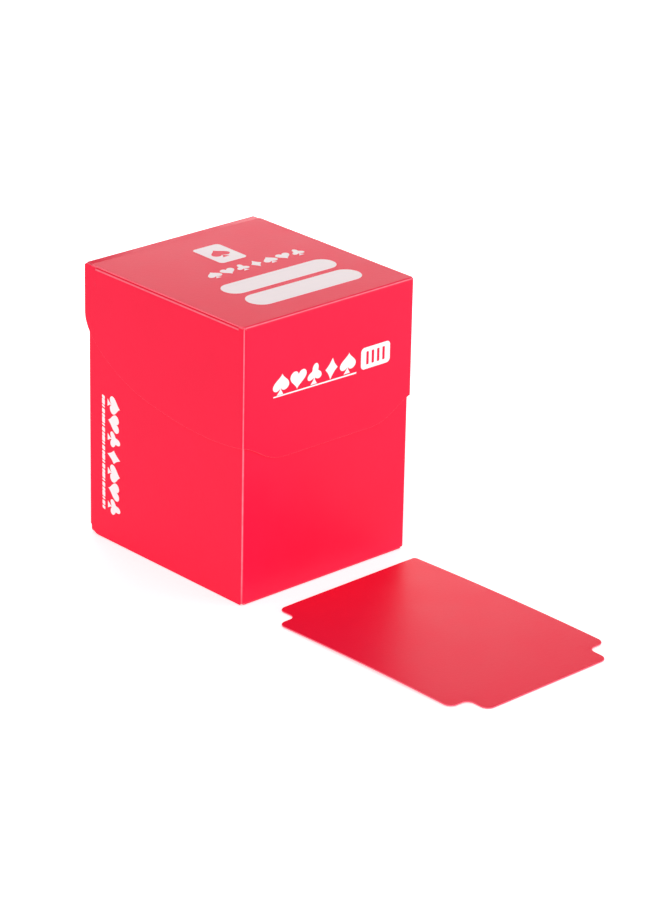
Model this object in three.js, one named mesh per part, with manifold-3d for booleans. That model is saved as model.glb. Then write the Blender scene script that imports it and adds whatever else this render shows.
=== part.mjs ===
// Card deck box: one die-cut sheet of polypropylene, creased, folded and glued into a body and a lid that
// share a living hinge along the rear top edge, and a loose divider card that lies in front of the box.
// Millimetres, +Z up, the front of the box towards -Y. The origin is the centre of the box's underside.
import * as THREE from 'three';
import { mergeVertices } from 'three/addons/utils/BufferGeometryUtils.js';
import Module from 'manifold-3d';

// ---- Driving dimensions ----
const BOX_HEIGHT = 98;             // table to the top of the closed lid
const BODY_WIDTH = 73;             // outside, over the two side panels
const BODY_DEPTH = 79.6;           // outside, front panel to back panel
const SHEET = 0.5;                 // thickness of the plastic sheet
const FOLD_RADIUS = 0.9;           // outer radius of a creased fold
const FOLD_STEPS = 4;              // curve segments that a quarter turn is drawn with, halved

// Body
const LID_REST_GAP = 0.5;          // body's top edges to the lid's tabs
const SIDE_SET_BACK = 1.4;         // side panel's free rear edge to the back panel's outer face
const SIDE_EDGE_LIFT = 0.3;        // side panel's free lower edge above the table
const SIDE_CORNER_RADIUS = 3.8;    // side panel's rear lower corner
const RIM_CORNER_RADIUS = 1.5;     // side panel's rear upper corner
const CREASE_RELIEF = 1.2;         // bottom of a vertical fold above the table
const NOTCH_RADIUS = 15;           // thumb notch in the front panel's top edge
const NOTCH_DEPTH = 10;
const BOTTOM_FLAP_HEIGHT = 14;     // glued flaps of the bottom panel
const BACK_FLAP_DEPTH = 14;        // glued flaps of the back panel
const FLAP_END_GAP = 2;            // end of a glued flap to the next fold or flap
const FLAP_MITRE = 4;              // corner cut of a flap's or a tab's free edge

// Lid
const LID_CLEARANCE = 0.2;         // body's outer face to the lid's inner face, on the sides and the front
const LID_REAR_OVERHANG = 0.4;     // lid side panel's rear edge behind the back panel
const LID_EDGE_INSET = 0.1;        // top panel's cut edge inside the lid side panel's outer face
const LID_CREASE_DROP = 41.8;      // lid top to the lower end of the lid's vertical folds
const LID_TONGUE_DROP = 48.8;      // lid top to the lower edge of the lid front
const LID_SHOULDER_WIDTH = 18;     // run of the curve from the fold down to that edge
const LID_SIDE_DIP = 2.9;          // the side's lower edge dips below the fold's end by about half of this
const LID_SIDE_RISE_START = 54;    // behind the lid's front face, where the rear rise begins
const LID_SIDE_RISE_DROP = 38.9;   // lid top to the side's lower edge there
const LID_REAR_DROP = 17.9;        // lid top to the lower end of the lid side's rear edge
const LID_CORNER_RADIUS = 1.2;     // rear corners of the lid's top and side panels
const TAB_WIDTH = 14;              // tab that turns in under the top panel
const TAB_END_GAP = 2;             // fold of a tab to the ends of the lid side panel
const HINGE_RADIUS = 2.5;          // outer radius of the living hinge's strip, closed
const HINGE_GAP = 0.8;             // the strip's two creases to the back panel and to the lid's top panel
const HINGE_SIDE_GAP = 0.2;        // the strip's ends to the body's side panels

// Divider
const DIVIDER_SIDE_CLEARANCE = 0.2;  // to the glued flaps on both sides, when it stands in the box
const DIVIDER_END_CLEARANCE = 0.2;   // to the bottom panel and to the lid's tabs, when it stands in the box
const DIVIDER_SHEET = 0.5;
const DIVIDER_ARCH = 0.7;          // rise of the middle over the two ends
const DIVIDER_STEP_ACROSS = 7.8;   // stepped corner cut-out, across the divider
const DIVIDER_STEP_ALONG = 8.5;    // stepped corner cut-out, along the divider
const DIVIDER_LOBE_RADIUS = 3;     // rounding on both sides of a cut-out
const DIVIDER_STEP_RADIUS = 2.5;   // rounding in the bottom of a cut-out
const DIVIDER_CORNER_RADIUS = 1.2; // the one plain corner
const DIVIDER_GAP = 8.5;           // divider to the lid's front face
const DIVIDER_OFFSET = -0.9;        // divider's middle to the right of the box's middle
const DIVIDER_TURN = 0.93;         // degrees

// ---- Derived dimensions ----
const halfWidth = BODY_WIDTH / 2;
const halfDepth = BODY_DEPTH / 2;
const innerHalfWidth = halfWidth - SHEET;
const lidHalfWidth = halfWidth + LID_CLEARANCE + SHEET;
const lidFront = -halfDepth - LID_CLEARANCE - SHEET;
const lidRear = halfDepth + LID_REAR_OVERHANG;
const tabTop = BOX_HEIGHT - SHEET;
const bodyTop = tabTop - SHEET - LID_REST_GAP;
const backTop = BOX_HEIGHT - HINGE_RADIUS - HINGE_GAP;
const lidTopRear = halfDepth - HINGE_RADIUS - HINGE_GAP;
const flapHalfGap = innerHalfWidth - SHEET;
const dividerWidth = 2 * (flapHalfGap - DIVIDER_SIDE_CLEARANCE);
const dividerLength = tabTop - 2 * SHEET - 2 * DIVIDER_END_CLEARANCE;
const creaseEnd = BOX_HEIGHT - LID_CREASE_DROP;
const SIDES = [['left', -1], ['right', 1]];

// ---- Materials ----
function plastic(color, roughness) {
  return new THREE.MeshStandardMaterial({ color, roughness, metalness: 0 });
}
const panelPlastic = () => plastic(0xf0203f, 0.45);
const foldPlastic = () => plastic(0xff6f92, 0.55);
const dividerPlastic = () => plastic(0xe62340, 0.45);

// ---- Building blocks ----

// Directions of a drawn outline's two axes and of its thickness, for a piece whose thickness runs along X, Y
// or Z: outlines are drawn in (y, z), (x, z) and (x, y).
const BASES = {
  x: [[0, 1, 0], [0, 0, 1], [1, 0, 0]],
  y: [[1, 0, 0], [0, 0, 1], [0, -1, 0]],
  z: [[1, 0, 0], [0, 1, 0], [0, 0, 1]],
};

// A solid of one outline between two levels along an axis.
function solid(name, outline, axis, low, high, material, curveSegments = FOLD_STEPS) {
  const geometry = new THREE.ExtrudeGeometry(outline, {
    depth: high - low, bevelEnabled: false, curveSegments, steps: 1,
  });
  const mesh = new THREE.Mesh(geometry, material);
  const [u, v, w] = BASES[axis].map((direction) => new THREE.Vector3(...direction));
  mesh.setRotationFromMatrix(new THREE.Matrix4().makeBasis(u, v, w));
  mesh.position[axis] = axis === 'y' ? high : low;
  mesh.name = name;
  return mesh;
}

// A straight-sided outline.
function polygon(points) {
  return new THREE.Shape(points.map(([u, v]) => new THREE.Vector2(u, v)));
}

// The section of a creased fold: a quarter ring one sheet thick that starts at an angle in degrees.
function foldSection(u, v, outerRadius, startAngle) {
  const start = THREE.MathUtils.degToRad(startAngle);
  const end = start + Math.PI / 2;
  const section = new THREE.Shape();
  section.absarc(u, v, outerRadius, start, end, false);
  section.absarc(u, v, outerRadius - SHEET, end, start, true);
  section.closePath();
  return section;
}

// A flap's outline with its two free corners mitred: base edge from u0 to u1 at v0, free edge at v1.
function flapOutline(u0, u1, v0, v1) {
  const mitre = FLAP_MITRE * Math.sign(v1 - v0);
  return polygon([
    [u0, v0], [u1, v0], [u1, v1 - mitre], [u1 - FLAP_MITRE, v1], [u0 + FLAP_MITRE, v1], [u0, v1 - mitre],
  ]);
}

// ---- Body ----

function frontPanel() {
  const half = halfWidth - FOLD_RADIUS;
  const notchCentre = bodyTop + NOTCH_RADIUS - NOTCH_DEPTH;
  const notchHalf = Math.sqrt(NOTCH_RADIUS ** 2 - (notchCentre - bodyTop) ** 2);
  const notchStart = Math.atan2(bodyTop - notchCentre, notchHalf);
  const outline = new THREE.Shape();
  outline.moveTo(-half, FOLD_RADIUS);
  outline.lineTo(half, FOLD_RADIUS);
  outline.lineTo(half, bodyTop);
  outline.lineTo(notchHalf, bodyTop);
  outline.absarc(0, notchCentre, NOTCH_RADIUS, notchStart, -Math.PI - notchStart, true);
  outline.lineTo(-half, bodyTop);
  outline.closePath();
  return solid('front_panel', outline, 'y', -halfDepth, -halfDepth + SHEET, panelPlastic(), 10);
}

function sidePanel(side, sign) {
  const front = -halfDepth + FOLD_RADIUS;
  const rear = halfDepth - SIDE_SET_BACK;
  const outline = new THREE.Shape();
  const lowCorner = SIDE_CORNER_RADIUS;
  const rimCorner = RIM_CORNER_RADIUS;
  outline.moveTo(front, bodyTop);
  outline.lineTo(front, SIDE_EDGE_LIFT);
  outline.absarc(rear - lowCorner, SIDE_EDGE_LIFT + lowCorner, lowCorner, -Math.PI / 2, 0, false);
  outline.absarc(rear - rimCorner, bodyTop - rimCorner, rimCorner, 0, Math.PI / 2, false);
  outline.closePath();
  const outer = sign * halfWidth;
  const inner = sign * innerHalfWidth;
  return solid(
    `${side}_side_panel`, outline, 'x', Math.min(outer, inner), Math.max(outer, inner), panelPlastic(),
  );
}

// The vertical fold between the front panel and a side panel.
function frontFold(side, sign) {
  const section = foldSection(
    sign * (halfWidth - FOLD_RADIUS), -halfDepth + FOLD_RADIUS, FOLD_RADIUS, sign < 0 ? 180 : 270,
  );
  return solid(`front_${side}_fold`, section, 'z', CREASE_RELIEF, bodyTop, foldPlastic());
}

function bottomPanel() {
  const half = innerHalfWidth - FOLD_RADIUS;
  const reach = halfDepth - FOLD_RADIUS;
  const outline = polygon([[-half, -reach], [half, -reach], [half, reach], [-half, reach]]);
  return solid('bottom_panel', outline, 'z', 0, SHEET, panelPlastic());
}

// The folds between the bottom panel and the front and back panels.
function bottomFold(place, sign) {
  const half = innerHalfWidth - FOLD_RADIUS;
  const section = foldSection(
    sign * (halfDepth - FOLD_RADIUS), FOLD_RADIUS, FOLD_RADIUS, sign < 0 ? 180 : 270,
  );
  return solid(`bottom_${place}_fold`, section, 'x', -half, half, foldPlastic());
}

// A flap of the bottom panel, turned up and glued inside a side panel, with its fold.
function bottomFlap(side, sign) {
  const front = -halfDepth + FOLD_RADIUS + FLAP_END_GAP;
  const rear = halfDepth - FOLD_RADIUS - BACK_FLAP_DEPTH - FLAP_END_GAP;
  const outer = sign * innerHalfWidth;
  const inner = sign * flapHalfGap;
  const section = foldSection(
    sign * (innerHalfWidth - FOLD_RADIUS), FOLD_RADIUS, FOLD_RADIUS, sign < 0 ? 180 : 270,
  );
  return [
    solid(
      `${side}_bottom_flap`, flapOutline(front, rear, FOLD_RADIUS, BOTTOM_FLAP_HEIGHT), 'x',
      Math.min(outer, inner), Math.max(outer, inner), panelPlastic(),
    ),
    solid(`${side}_bottom_fold`, section, 'y', front, rear, foldPlastic()),
  ];
}

function backPanel() {
  const half = innerHalfWidth - FOLD_RADIUS;
  const outline = polygon([[-half, FOLD_RADIUS], [half, FOLD_RADIUS], [half, backTop], [-half, backTop]]);
  return solid('back_panel', outline, 'y', halfDepth - SHEET, halfDepth, panelPlastic());
}

// A flap of the back panel, turned forward and glued inside a side panel, with its fold.
function backFlap(side, sign) {
  const low = FOLD_RADIUS + FLAP_END_GAP;
  const high = backTop - FLAP_END_GAP;
  const base = halfDepth - FOLD_RADIUS;
  const free = base - BACK_FLAP_DEPTH;
  const outline = polygon([
    [base, low], [base, high], [free + FLAP_MITRE, high], [free, high - FLAP_MITRE],
    [free, low + FLAP_MITRE], [free + FLAP_MITRE, low],
  ]);
  const outer = sign * innerHalfWidth;
  const inner = sign * flapHalfGap;
  const section = foldSection(sign * (innerHalfWidth - FOLD_RADIUS), base, FOLD_RADIUS, sign < 0 ? 90 : 0);
  return [
    solid(
      `${side}_back_flap`, outline, 'x', Math.min(outer, inner), Math.max(outer, inner), panelPlastic(),
    ),
    solid(`${side}_back_fold`, section, 'z', low, high, foldPlastic()),
  ];
}

function body() {
  const group = new THREE.Group();
  group.add(frontPanel(), backPanel(), bottomPanel(), bottomFold('front', -1), bottomFold('rear', 1));
  for (const [side, sign] of SIDES) {
    group.add(sidePanel(side, sign), frontFold(side, sign));
    group.add(...bottomFlap(side, sign), ...backFlap(side, sign));
  }
  return group;
}

// ---- Lid ----

function lidTopPanel() {
  const half = lidHalfWidth - LID_EDGE_INSET;
  const front = lidFront + FOLD_RADIUS;
  const cornerX = half - LID_CORNER_RADIUS;
  const cornerY = lidTopRear - LID_CORNER_RADIUS;
  const outline = new THREE.Shape();
  outline.moveTo(-half, front);
  outline.lineTo(half, front);
  outline.absarc(cornerX, cornerY, LID_CORNER_RADIUS, 0, Math.PI / 2, false);
  outline.absarc(-cornerX, cornerY, LID_CORNER_RADIUS, Math.PI / 2, Math.PI, false);
  outline.closePath();
  return solid('lid_top_panel', outline, 'z', BOX_HEIGHT - SHEET, BOX_HEIGHT, panelPlastic());
}

// The lid front, whose lower edge drops in an S from each fold to a wide tongue.
function lidFrontPanel() {
  const half = lidHalfWidth - FOLD_RADIUS;
  const top = BOX_HEIGHT - FOLD_RADIUS;
  const tongue = BOX_HEIGHT - LID_TONGUE_DROP;
  const shoulder = half - LID_SHOULDER_WIDTH;
  const outline = new THREE.Shape();
  outline.moveTo(half, top);
  outline.lineTo(-half, top);
  outline.lineTo(-half, creaseEnd);
  outline.bezierCurveTo(
    -half + LID_SHOULDER_WIDTH * 0.35, creaseEnd - (creaseEnd - tongue) * 0.3,
    -half + LID_SHOULDER_WIDTH * 0.5, tongue, -shoulder, tongue,
  );
  outline.lineTo(shoulder, tongue);
  outline.bezierCurveTo(
    half - LID_SHOULDER_WIDTH * 0.5, tongue,
    half - LID_SHOULDER_WIDTH * 0.35, creaseEnd - (creaseEnd - tongue) * 0.3, half, creaseEnd,
  );
  outline.closePath();
  return solid('lid_front_panel', outline, 'y', lidFront, lidFront + SHEET, panelPlastic(), 12);
}

// A lid side panel, whose lower edge dips behind the fold and then sweeps up to the short rear edge.
function lidSidePanel(side, sign) {
  const front = lidFront + FOLD_RADIUS;
  const top = tabTop - FOLD_RADIUS;
  const rearLow = BOX_HEIGHT - LID_REAR_DROP;
  const riseStart = lidFront + LID_SIDE_RISE_START;
  const riseLevel = BOX_HEIGHT - LID_SIDE_RISE_DROP;
  const dipRun = riseStart - front;
  const riseRun = lidRear - riseStart;
  const riseHeight = rearLow - riseLevel;
  const outline = new THREE.Shape();
  outline.moveTo(front, top);
  outline.lineTo(front, creaseEnd);
  outline.bezierCurveTo(
    front + dipRun * 0.3, creaseEnd - LID_SIDE_DIP * 1.15,
    riseStart - dipRun * 0.29, riseLevel - LID_SIDE_DIP * 1.3, riseStart, riseLevel,
  );
  outline.bezierCurveTo(
    riseStart + riseRun * 0.49, riseLevel + riseHeight * 0.2,
    lidRear, rearLow - riseHeight * 0.39, lidRear, rearLow,
  );
  const corner = LID_CORNER_RADIUS;
  outline.absarc(lidRear - corner, top - corner, corner, 0, Math.PI / 2, false);
  outline.closePath();
  const outer = sign * lidHalfWidth;
  const inner = sign * (lidHalfWidth - SHEET);
  return solid(
    `lid_${side}_panel`, outline, 'x', Math.min(outer, inner), Math.max(outer, inner), panelPlastic(), 12,
  );
}

// The vertical fold between the lid front and a lid side panel.
function lidSideFold(side, sign) {
  const section = foldSection(
    sign * (lidHalfWidth - FOLD_RADIUS), lidFront + FOLD_RADIUS, FOLD_RADIUS, sign < 0 ? 180 : 270,
  );
  return solid(`lid_${side}_fold`, section, 'z', creaseEnd, tabTop - FOLD_RADIUS, foldPlastic());
}

// The tab of a lid side panel that turns in under the top panel, with its fold.
function lidTab(side, sign) {
  const front = lidFront + FOLD_RADIUS + TAB_END_GAP;
  const rear = lidTopRear - TAB_END_GAP;
  const base = sign * (lidHalfWidth - FOLD_RADIUS);
  const free = base - sign * TAB_WIDTH;
  const outline = polygon([
    [base, front], [base, rear], [free + sign * FLAP_MITRE, rear], [free, rear - FLAP_MITRE],
    [free, front + FLAP_MITRE], [free + sign * FLAP_MITRE, front],
  ]);
  const section = foldSection(base, tabTop - FOLD_RADIUS, FOLD_RADIUS, sign < 0 ? 90 : 0);
  return [
    solid(`lid_${side}_tab`, outline, 'z', tabTop - SHEET, tabTop, panelPlastic()),
    solid(`lid_${side}_tab_fold`, section, 'y', front, rear, foldPlastic()),
  ];
}

function lidFrontFold() {
  const half = lidHalfWidth - FOLD_RADIUS;
  const section = foldSection(lidFront + FOLD_RADIUS, BOX_HEIGHT - FOLD_RADIUS, FOLD_RADIUS, 90);
  return solid('lid_front_fold', section, 'x', -half, half, foldPlastic());
}

// The living hinge's strip, rolled over from the back panel to the lid's top panel. It turns on the crease at
// its lower end, and the lid turns on the crease at its upper end.
function hingeStrip() {
  const half = innerHalfWidth - HINGE_SIDE_GAP;
  const section = foldSection(halfDepth - HINGE_RADIUS, BOX_HEIGHT - HINGE_RADIUS, HINGE_RADIUS, 0);
  return solid('hinge_strip', section, 'x', -half, half, foldPlastic(), 6);
}

function lid() {
  const group = new THREE.Group();
  group.add(lidTopPanel(), lidFrontPanel(), lidFrontFold());
  for (const [side, sign] of SIDES) {
    group.add(lidSidePanel(side, sign), lidSideFold(side, sign), ...lidTab(side, sign));
  }
  return group;
}

// ---- Divider ----

const wasm = await Module();
wasm.setup();

// A closed geometry as a solid for cutting.
function toSolid(geometry) {
  const bare = geometry.clone();
  bare.deleteAttribute('normal');
  bare.deleteAttribute('uv');
  const merged = mergeVertices(bare);
  return new wasm.Manifold(new wasm.Mesh({
    numProp: 3,
    vertProperties: new Float32Array(merged.attributes.position.array),
    triVerts: new Uint32Array(merged.index.array),
  }));
}

// The geometry of a solid that has been cut.
function toGeometry(cut) {
  const { vertProperties, triVerts } = cut.getMesh();
  const geometry = new THREE.BufferGeometry();
  geometry.setAttribute('position', new THREE.BufferAttribute(vertProperties, 3));
  geometry.setIndex(new THREE.BufferAttribute(triVerts, 1));
  return geometry;
}

// The divider's outline in its own plane: three stepped corner cut-outs and one plain rounded corner.
function dividerOutline() {
  const half = dividerWidth / 2;
  const reach = dividerLength / 2;
  const lobe = DIVIDER_LOBE_RADIUS;
  const outline = new THREE.Shape();
  // Turns through a stepped corner, counter-clockwise, in quadrant 0 to 3 starting at the -X -Y corner.
  const steppedCorner = (quadrant) => {
    const turn = (quadrant * Math.PI) / 2;
    const across = quadrant % 2 === 0 ? half : reach;
    const along = quadrant % 2 === 0 ? reach : half;
    const stepAcross = quadrant % 2 === 0 ? DIVIDER_STEP_ACROSS : DIVIDER_STEP_ALONG;
    const stepAlong = quadrant % 2 === 0 ? DIVIDER_STEP_ALONG : DIVIDER_STEP_ACROSS;
    const arc = (u, v, radius, from, to, clockwise) => {
      const x = u * Math.cos(turn) - v * Math.sin(turn);
      const y = u * Math.sin(turn) + v * Math.cos(turn);
      outline.absarc(x, y, radius, from + turn, to + turn, clockwise);
    };
    const inner = DIVIDER_STEP_RADIUS;
    arc(-across + lobe, -along + stepAlong + lobe, lobe, Math.PI, 1.5 * Math.PI, false);
    arc(
      -across + stepAcross - inner, -along + stepAlong - inner, inner, 0.5 * Math.PI, 0, true,
    );
    arc(-across + stepAcross + lobe, -along + lobe, lobe, Math.PI, 1.5 * Math.PI, false);
  };
  const corner = DIVIDER_CORNER_RADIUS;
  steppedCorner(0);
  steppedCorner(1);
  outline.absarc(half - corner, reach - corner, corner, 0, Math.PI / 2, false);
  steppedCorner(3);
  outline.closePath();
  return outline;
}

// The divider lies on its two ends with its middle slightly arched.
function divider() {
  const radius = dividerLength ** 2 / (8 * DIVIDER_ARCH) + DIVIDER_ARCH / 2;
  const spread = Math.asin(dividerLength / (2 * radius)) * 1.05;
  const centre = DIVIDER_ARCH - radius;
  const up = Math.PI / 2;
  const section = new THREE.Shape();
  section.absarc(0, centre, radius + DIVIDER_SHEET, up - spread, up + spread, false);
  section.absarc(0, centre, radius, up + spread, up - spread, true);
  section.closePath();
  const arched = solid('arched_sheet', section, 'x', -dividerWidth, dividerWidth, dividerPlastic(), 10);
  arched.updateMatrix();
  arched.geometry.applyMatrix4(arched.matrix);
  const cutter = new THREE.ExtrudeGeometry(dividerOutline(), {
    depth: 4 * (DIVIDER_ARCH + DIVIDER_SHEET), bevelEnabled: false, curveSegments: 4, steps: 1,
  });
  cutter.translate(0, 0, -DIVIDER_ARCH - DIVIDER_SHEET);
  const mesh = new THREE.Mesh(
    toGeometry(toSolid(arched.geometry).intersect(toSolid(cutter))), dividerPlastic(),
  );
  mesh.name = 'divider';
  mesh.position.set(DIVIDER_OFFSET, lidFront - DIVIDER_GAP - dividerLength / 2, 0);
  mesh.rotation.z = THREE.MathUtils.degToRad(DIVIDER_TURN);
  return mesh;
}

const deckBox = new THREE.Group();
deckBox.add(body(), hingeStrip(), lid(), divider());

export default deckBox;
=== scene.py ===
import math

import bmesh
import bpy
from mathutils import Matrix, Vector


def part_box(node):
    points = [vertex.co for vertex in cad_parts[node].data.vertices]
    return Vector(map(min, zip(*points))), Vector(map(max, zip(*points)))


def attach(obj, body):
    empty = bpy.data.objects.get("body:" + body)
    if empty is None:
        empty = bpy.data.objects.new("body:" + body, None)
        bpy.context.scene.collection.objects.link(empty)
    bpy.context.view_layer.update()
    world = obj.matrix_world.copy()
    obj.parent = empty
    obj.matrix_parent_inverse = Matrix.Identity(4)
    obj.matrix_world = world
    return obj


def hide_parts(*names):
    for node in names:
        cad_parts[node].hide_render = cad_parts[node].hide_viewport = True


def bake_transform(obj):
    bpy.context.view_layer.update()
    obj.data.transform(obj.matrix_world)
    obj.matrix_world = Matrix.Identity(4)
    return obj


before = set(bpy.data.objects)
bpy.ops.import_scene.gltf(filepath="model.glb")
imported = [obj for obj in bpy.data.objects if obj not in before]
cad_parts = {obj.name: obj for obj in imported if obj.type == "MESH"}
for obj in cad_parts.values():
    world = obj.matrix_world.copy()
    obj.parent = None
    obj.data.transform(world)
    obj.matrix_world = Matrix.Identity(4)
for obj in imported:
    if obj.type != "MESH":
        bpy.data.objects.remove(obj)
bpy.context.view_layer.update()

# ---- Camera ----
# A long lens about 1.2 m away looks down on the box's front left corner,
# with the divider lying in front of it.
azimuth, elevation, roll = map(math.radians, (-42.783, 22.784, 1.207))
looked_at = Vector((-0.004128, -0.045925, 0.04907))
camera_distance = 1.19566
back = Vector((math.sin(azimuth) * math.cos(elevation),
               -math.cos(azimuth) * math.cos(elevation), math.sin(elevation)))
right = (-back).cross(Vector((0, 0, 1))).normalized()
up = right.cross(-back)
rolled_right = right * math.cos(roll) + up * math.sin(roll)
rolled_up = up * math.cos(roll) - right * math.sin(roll)
camera = bpy.data.objects.new("camera", bpy.data.cameras.new("camera"))
bpy.context.scene.collection.objects.link(camera)
camera.matrix_world = (Matrix.Translation(looked_at + back * camera_distance)
                       @ Matrix((rolled_right, rolled_up, back)).transposed().to_4x4())
camera.data.lens = 146.4
camera.data.sensor_width = 36
camera.data.clip_start = 0.05
bpy.context.scene.camera = camera

# ---- Floor and light ----
# A plain pale table under a white surround, with a low soft panel behind that gives the lid's
# top its sheen, and one panel each side of the camera that keeps the upright faces even.
floor_reach, floor_drop = 6, 0.0001
floor_mesh = bpy.data.meshes.new("floor")
floor_corners = [(-1, -1), (1, -1), (1, 1), (-1, 1)]
floor_mesh.from_pydata([(x * floor_reach, y * floor_reach, 0) for x, y in floor_corners], [], [(0, 1, 2, 3)])
floor = bpy.data.objects.new("floor", floor_mesh)
floor.location.z = -floor_drop
bpy.context.scene.collection.objects.link(floor)
floor_paint = bpy.data.materials.new("pale_table")
floor_paint.use_nodes = True
floor_shader = floor_paint.node_tree.nodes["Principled BSDF"]
floor_shader.inputs["Base Color"].default_value = (0.93, 0.93, 0.93, 1)
floor_shader.inputs["Roughness"].default_value = 0.9
floor_shader.inputs["Specular IOR Level"].default_value = 0.1
floor_shader.inputs["Emission Color"].default_value = (1, 1, 1, 1)
floor_shader.inputs["Emission Strength"].default_value = 0.5
floor_mesh.materials.append(floor_paint)

world = bpy.data.worlds.new("white_surround")
world.use_nodes = True
world.node_tree.nodes["Background"].inputs["Color"].default_value = (1, 1, 1, 1)
world.node_tree.nodes["Background"].inputs["Strength"].default_value = 0.64
bpy.context.scene.world = world
bpy.context.scene.view_settings.view_transform = "Standard"


def soft_panel(name, place, size, power):
    light = bpy.data.lights.new(name, "AREA")
    light.shape = "RECTANGLE"
    light.size, light.size_y = size
    light.energy = power
    panel = bpy.data.objects.new(name, light)
    panel.location = place
    panel.rotation_euler = (looked_at - Vector(place)).to_track_quat("-Z", "Y").to_euler()
    panel.visible_camera = False
    bpy.context.scene.collection.objects.link(panel)


soft_panel("rear_panel", (0.26, 0.29, 0.165), (0.4, 0.09), 0.5)
soft_panel("right_panel", (0.85, -0.95, 0.15), (1.0, 0.26), 7)
soft_panel("left_panel", (-1.2, -0.8, 0.8), (0.9, 0.9), 5.6)

# ---- Red sheet ----
# The box is die-cut from one satin polypropylene sheet 0.5 mm thick, dyed through, with a fine grain.
# Its creases are painted pale, its own stress whitening with a painted highlight, and its cut edges
# are painted a little paler, partly their own tone and partly a painted highlight.


def group(name, inputs, outputs):
    tree = bpy.data.node_groups.new(name, "ShaderNodeTree")
    for socket, kind, value in inputs:
        made = tree.interface.new_socket(socket, in_out="INPUT", socket_type=kind)
        if value is not None:
            made.default_value = value
    for socket, kind in outputs:
        tree.interface.new_socket(socket, in_out="OUTPUT", socket_type=kind)
    return tree, tree.nodes.new("NodeGroupInput"), tree.nodes.new("NodeGroupOutput")


def node(tree, kind, links=(), **settings):
    made = tree.nodes.new(kind)
    values = settings.pop("values", {})
    for key, value in settings.items():
        setattr(made, key, value)
    for key, value in values.items():
        made.inputs[key].default_value = value
    for key, source in links:
        tree.links.new(source, made.inputs[key])
    return made


grain, inp, out = group(
    "satin_grain",
    [("Place", "NodeSocketVector", None), ("Pebbles per mm", "NodeSocketFloat", 3.0),
     ("Roughness", "NodeSocketFloat", 0.42), ("Spread", "NodeSocketFloat", 0.1)],
    [("Height", "NodeSocketFloat"), ("Roughness", "NodeSocketFloat"), ("Cloud", "NodeSocketFloat")])
per_metre = node(grain, "ShaderNodeMath", [(0, inp.outputs["Pebbles per mm"])],
                 operation="MULTIPLY", values={1: 1000.0})
pebbles = node(grain, "ShaderNodeTexNoise",
               [("Vector", inp.outputs["Place"]), ("Scale", per_metre.outputs[0])],
               values={"Detail": 2.0, "Roughness": 0.6})
ripple = node(grain, "ShaderNodeTexNoise", [("Vector", inp.outputs["Place"])],
              values={"Scale": 900.0, "Detail": 1.0, "Roughness": 0.4})
relief = node(grain, "ShaderNodeMath", [(0, ripple.outputs["Fac"]), (2, pebbles.outputs["Fac"])],
              operation="MULTIPLY_ADD", values={1: 1.6})
cloud = node(grain, "ShaderNodeTexNoise", [("Vector", inp.outputs["Place"])],
             values={"Scale": 60.0, "Detail": 3.0, "Roughness": 0.55})
offset = node(grain, "ShaderNodeMath", [(0, cloud.outputs["Fac"])], operation="SUBTRACT", values={1: 0.5})
spread = node(grain, "ShaderNodeMath", [(0, offset.outputs[0]), (1, inp.outputs["Spread"]),
                                        (2, inp.outputs["Roughness"])], operation="MULTIPLY_ADD")
grain.links.new(relief.outputs[0], out.inputs["Height"])
grain.links.new(spread.outputs[0], out.inputs["Roughness"])
grain.links.new(cloud.outputs["Fac"], out.inputs["Cloud"])

# Crease colour: the sheet's own stress whitening with a painted highlight in it, broken into streaks.
whitening_and_highlight, inp, out = group(
    "crease_whitening_and_highlight",
    [("Place", "NodeSocketVector", None), ("Colour", "NodeSocketColor", None),
     ("Whitened And Highlit", "NodeSocketColor", (1.0, 0.42, 0.52, 1)), ("Strength", "NodeSocketFloat", 1.0),
     ("Pale Edge And Highlight", "NodeSocketColor", (1.0, 0.13, 0.19, 1))],
    [("Colour", "NodeSocketColor"), ("Mask", "NodeSocketFloat")])
crease = node(whitening_and_highlight, "ShaderNodeAttribute", attribute_name="crease")
cut = node(whitening_and_highlight, "ShaderNodeAttribute", attribute_name="cut")
streaks = node(whitening_and_highlight, "ShaderNodeTexNoise", [("Vector", inp.outputs["Place"])],
               values={"Scale": 320.0, "Detail": 3.0, "Roughness": 0.7})
patchy = node(whitening_and_highlight, "ShaderNodeMapRange", [("Value", streaks.outputs["Fac"])],
              values={"From Min": 0.3, "From Max": 0.7, "To Min": 0.7, "To Max": 1.0})
pressed_and_highlit = node(whitening_and_highlight, "ShaderNodeMath", [(0, crease.outputs["Fac"]), (1, patchy.outputs["Result"])],
               operation="MULTIPLY")
mask = node(whitening_and_highlight, "ShaderNodeMath", [(0, pressed_and_highlit.outputs[0]), (1, inp.outputs["Strength"])],
            operation="MULTIPLY", use_clamp=True)
# Cut edges get a paler pink: partly their own tone, partly a painted highlight.
pale_edge_and_highlight = node(whitening_and_highlight, "ShaderNodeMix", [("Factor", cut.outputs["Fac"]), (6, inp.outputs["Colour"]),
                                              (7, inp.outputs["Pale Edge And Highlight"])], data_type="RGBA")
creased = node(whitening_and_highlight, "ShaderNodeMix", [("Factor", mask.outputs[0]), (6, pale_edge_and_highlight.outputs[2]),
                                            (7, inp.outputs["Whitened And Highlit"])], data_type="RGBA")
whitening_and_highlight.links.new(creased.outputs[2], out.inputs["Colour"])
whitening_and_highlight.links.new(mask.outputs[0], out.inputs["Mask"])


# The edge colour is a paler pink for cut edges, partly their own tone and partly a painted highlight.
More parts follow.
